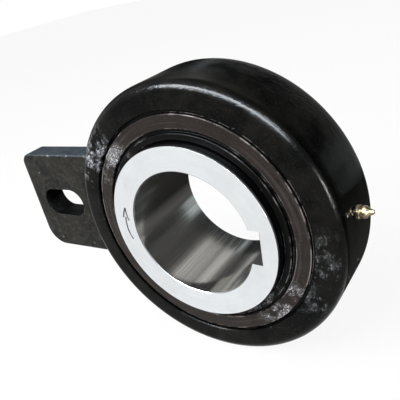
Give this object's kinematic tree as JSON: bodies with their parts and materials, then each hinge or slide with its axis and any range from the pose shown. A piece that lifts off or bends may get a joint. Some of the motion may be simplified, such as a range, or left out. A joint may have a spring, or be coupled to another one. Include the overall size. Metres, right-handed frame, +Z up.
{
  "type": "sprag clutch",
  "caption": "Round shaft-mounted one-way clutch: keyed inner race turning in a black housing with closed sides, a slotted torque arm and a grease nipple on the rim.",
  "frame": {"origin": "middle of the shaft bore, on its axis", "axes": "+Y along the shaft bore towards the rear face, torque arm along -X, +Z up"},
  "size_m": [0.2409, 0.058, 0.166],
  "materials": {
    "black_enamel": "gloss black enamel over turned steel",
    "arm_enamel": "thin satin black enamel over rolled plate",
    "side_plate_enamel": "thin brown-black enamel over turned steel",
    "seal_black": "black enamel over turned steel",
    "bronze": "machined bronze",
    "plated_brass": "yellow plated, bare at the edges",
    "ground_steel": "ground bright steel with a film of oil",
    "bearing_steel": "polished hardened steel",
    "cage_steel": "machined steel",
    "spring_steel": "oiled spring wire"
  },
  "bodies": {
    "housing": {"outer_race": "black_enamel", "torque_arm": "arm_enamel", "arm_weld_front": "arm_enamel", "arm_weld_rear": "arm_enamel", "arm_weld_top": "arm_enamel", "arm_weld_bottom": "arm_enamel", "front_thrust_washer": "bronze", "rear_thrust_washer": "bronze", "front_side_plate": "side_plate_enamel", "rear_side_plate": "side_plate_enamel", "front_seal_ring": "seal_black", "rear_seal_ring": "seal_black", "grease_nipple": "plated_brass", "nipple_ball": "bearing_steel"},
    "inner_race": {"inner_race": "ground_steel"},
    "cage": {"cage": "cage_steel", "front_garter_spring": "spring_steel", "rear_garter_spring": "spring_steel"},
    "roller_01": {"roller_01": "bearing_steel"},
    "roller_02": {"roller_02": "bearing_steel"},
    "roller_03": {"roller_03": "bearing_steel"},
    "roller_04": {"roller_04": "bearing_steel"},
    "roller_05": {"roller_05": "bearing_steel"},
    "roller_06": {"roller_06": "bearing_steel"},
    "roller_07": {"roller_07": "bearing_steel"},
    "roller_08": {"roller_08": "bearing_steel"},
    "roller_09": {"roller_09": "bearing_steel"},
    "roller_10": {"roller_10": "bearing_steel"},
    "roller_11": {"roller_11": "bearing_steel"},
    "roller_12": {"roller_12": "bearing_steel"},
    "sprag_01": {"sprag_01": "bearing_steel"},
    "sprag_02": {"sprag_02": "bearing_steel"},
    "sprag_03": {"sprag_03": "bearing_steel"},
    "sprag_04": {"sprag_04": "bearing_steel"},
    "sprag_05": {"sprag_05": "bearing_steel"},
    "sprag_06": {"sprag_06": "bearing_steel"},
    "sprag_07": {"sprag_07": "bearing_steel"},
    "sprag_08": {"sprag_08": "bearing_steel"},
    "sprag_09": {"sprag_09": "bearing_steel"},
    "sprag_10": {"sprag_10": "bearing_steel"},
    "sprag_11": {"sprag_11": "bearing_steel"},
    "sprag_12": {"sprag_12": "bearing_steel"}
  },
  "joints": [
    {"name": "inner_race_spin", "type": "hinge", "parent": "housing", "child": "inner_race", "pos_m": [0, 0, 0], "axis": [0, 1, 0], "continuous": true},
    {"name": "cage_spin", "type": "hinge", "parent": "housing", "child": "cage", "pos_m": [0, 0, 0], "axis": [0, 1, 0], "continuous": true},
    {"name": "roller_01_spin", "type": "hinge", "parent": "cage", "child": "roller_01", "pos_m": [0.05651, 0, 0.01514], "axis": [0, 1, 0], "continuous": true},
    {"name": "roller_02_spin", "type": "hinge", "parent": "cage", "child": "roller_02", "pos_m": [0.04137, 0, 0.04137], "axis": [0, 1, 0], "continuous": true},
    {"name": "roller_03_spin", "type": "hinge", "parent": "cage", "child": "roller_03", "pos_m": [0.01514, 0, 0.05651], "axis": [0, 1, 0], "continuous": true},
    {"name": "roller_04_spin", "type": "hinge", "parent": "cage", "child": "roller_04", "pos_m": [-0.01514, 0, 0.05651], "axis": [0, 1, 0], "continuous": true},
    {"name": "roller_05_spin", "type": "hinge", "parent": "cage", "child": "roller_05", "pos_m": [-0.04137, 0, 0.04137], "axis": [0, 1, 0], "continuous": true},
    {"name": "roller_06_spin", "type": "hinge", "parent": "cage", "child": "roller_06", "pos_m": [-0.05651, 0, 0.01514], "axis": [0, 1, 0], "continuous": true},
    {"name": "roller_07_spin", "type": "hinge", "parent": "cage", "child": "roller_07", "pos_m": [-0.05651, 0, -0.01514], "axis": [0, 1, 0], "continuous": true},
    {"name": "roller_08_spin", "type": "hinge", "parent": "cage", "child": "roller_08", "pos_m": [-0.04137, 0, -0.04137], "axis": [0, 1, 0], "continuous": true},
    {"name": "roller_09_spin", "type": "hinge", "parent": "cage", "child": "roller_09", "pos_m": [-0.01514, 0, -0.05651], "axis": [0, 1, 0], "continuous": true},
    {"name": "roller_10_spin", "type": "hinge", "parent": "cage", "child": "roller_10", "pos_m": [0.01514, 0, -0.05651], "axis": [0, 1, 0], "continuous": true},
    {"name": "roller_11_spin", "type": "hinge", "parent": "cage", "child": "roller_11", "pos_m": [0.04137, 0, -0.04137], "axis": [0, 1, 0], "continuous": true},
    {"name": "roller_12_spin", "type": "hinge", "parent": "cage", "child": "roller_12", "pos_m": [0.05651, 0, -0.01514], "axis": [0, 1, 0], "continuous": true},
    {"name": "sprag_01_tilt", "type": "hinge", "parent": "cage", "child": "sprag_01", "pos_m": [0.05955, 0, 0.00088], "axis": [0, -1, 0], "range_deg": [0, 8], "stiffness_Nm_per_rad": 0.005, "springref_deg": -2.86},
    {"name": "sprag_02_tilt", "type": "hinge", "parent": "cage", "child": "sprag_02", "pos_m": [0.05113, 0, 0.03054], "axis": [0, -1, 0], "range_deg": [0, 8]},
    {"name": "sprag_03_tilt", "type": "hinge", "parent": "cage", "child": "sprag_03", "pos_m": [0.02901, 0, 0.05201], "axis": [0, -1, 0], "range_deg": [0, 8]},
    {"name": "sprag_04_tilt", "type": "hinge", "parent": "cage", "child": "sprag_04", "pos_m": [-0.00088, 0, 0.05955], "axis": [0, -1, 0], "range_deg": [0, 8]},
    {"name": "sprag_05_tilt", "type": "hinge", "parent": "cage", "child": "sprag_05", "pos_m": [-0.03054, 0, 0.05113], "axis": [0, -1, 0], "range_deg": [0, 8]},
    {"name": "sprag_06_tilt", "type": "hinge", "parent": "cage", "child": "sprag_06", "pos_m": [-0.05201, 0, 0.02901], "axis": [0, -1, 0], "range_deg": [0, 8]},
    {"name": "sprag_07_tilt", "type": "hinge", "parent": "cage", "child": "sprag_07", "pos_m": [-0.05955, 0, -0.00088], "axis": [0, -1, 0], "range_deg": [0, 8]},
    {"name": "sprag_08_tilt", "type": "hinge", "parent": "cage", "child": "sprag_08", "pos_m": [-0.05113, 0, -0.03054], "axis": [0, -1, 0], "range_deg": [0, 8]},
    {"name": "sprag_09_tilt", "type": "hinge", "parent": "cage", "child": "sprag_09", "pos_m": [-0.02901, 0, -0.05201], "axis": [0, -1, 0], "range_deg": [0, 8]},
    {"name": "sprag_10_tilt", "type": "hinge", "parent": "cage", "child": "sprag_10", "pos_m": [0.00088, 0, -0.05955], "axis": [0, -1, 0], "range_deg": [0, 8]},
    {"name": "sprag_11_tilt", "type": "hinge", "parent": "cage", "child": "sprag_11", "pos_m": [0.03054, 0, -0.05113], "axis": [0, -1, 0], "range_deg": [0, 8]},
    {"name": "sprag_12_tilt", "type": "hinge", "parent": "cage", "child": "sprag_12", "pos_m": [0.05201, 0, -0.02901], "axis": [0, -1, 0], "range_deg": [0, 8]}
  ],
  "couplings": [
    {"joint": "cage_spin", "follows": "inner_race_spin", "ratio": 0.46154},
    {"joint": "roller_01_spin", "follows": "inner_race_spin", "ratio": -6.4615},
    {"joint": "roller_02_spin", "follows": "inner_race_spin", "ratio": -6.4615},
    {"joint": "roller_03_spin", "follows": "inner_race_spin", "ratio": -6.4615},
    {"joint": "roller_04_spin", "follows": "inner_race_spin", "ratio": -6.4615},
    {"joint": "roller_05_spin", "follows": "inner_race_spin", "ratio": -6.4615},
    {"joint": "roller_06_spin", "follows": "inner_race_spin", "ratio": -6.4615},
    {"joint": "roller_07_spin", "follows": "inner_race_spin", "ratio": -6.4615},
    {"joint": "roller_08_spin", "follows": "inner_race_spin", "ratio": -6.4615},
    {"joint": "roller_09_spin", "follows": "inner_race_spin", "ratio": -6.4615},
    {"joint": "roller_10_spin", "follows": "inner_race_spin", "ratio": -6.4615},
    {"joint": "roller_11_spin", "follows": "inner_race_spin", "ratio": -6.4615},
    {"joint": "roller_12_spin", "follows": "inner_race_spin", "ratio": -6.4615},
    {"joint": "sprag_02_tilt", "follows": "sprag_01_tilt", "ratio": 1},
    {"joint": "sprag_03_tilt", "follows": "sprag_01_tilt", "ratio": 1},
    {"joint": "sprag_04_tilt", "follows": "sprag_01_tilt", "ratio": 1},
    {"joint": "sprag_05_tilt", "follows": "sprag_01_tilt", "ratio": 1},
    {"joint": "sprag_06_tilt", "follows": "sprag_01_tilt", "ratio": 1},
    {"joint": "sprag_07_tilt", "follows": "sprag_01_tilt", "ratio": 1},
    {"joint": "sprag_08_tilt", "follows": "sprag_01_tilt", "ratio": 1},
    {"joint": "sprag_09_tilt", "follows": "sprag_01_tilt", "ratio": 1},
    {"joint": "sprag_10_tilt", "follows": "sprag_01_tilt", "ratio": 1},
    {"joint": "sprag_11_tilt", "follows": "sprag_01_tilt", "ratio": 1},
    {"joint": "sprag_12_tilt", "follows": "sprag_01_tilt", "ratio": 1}
  ]
}
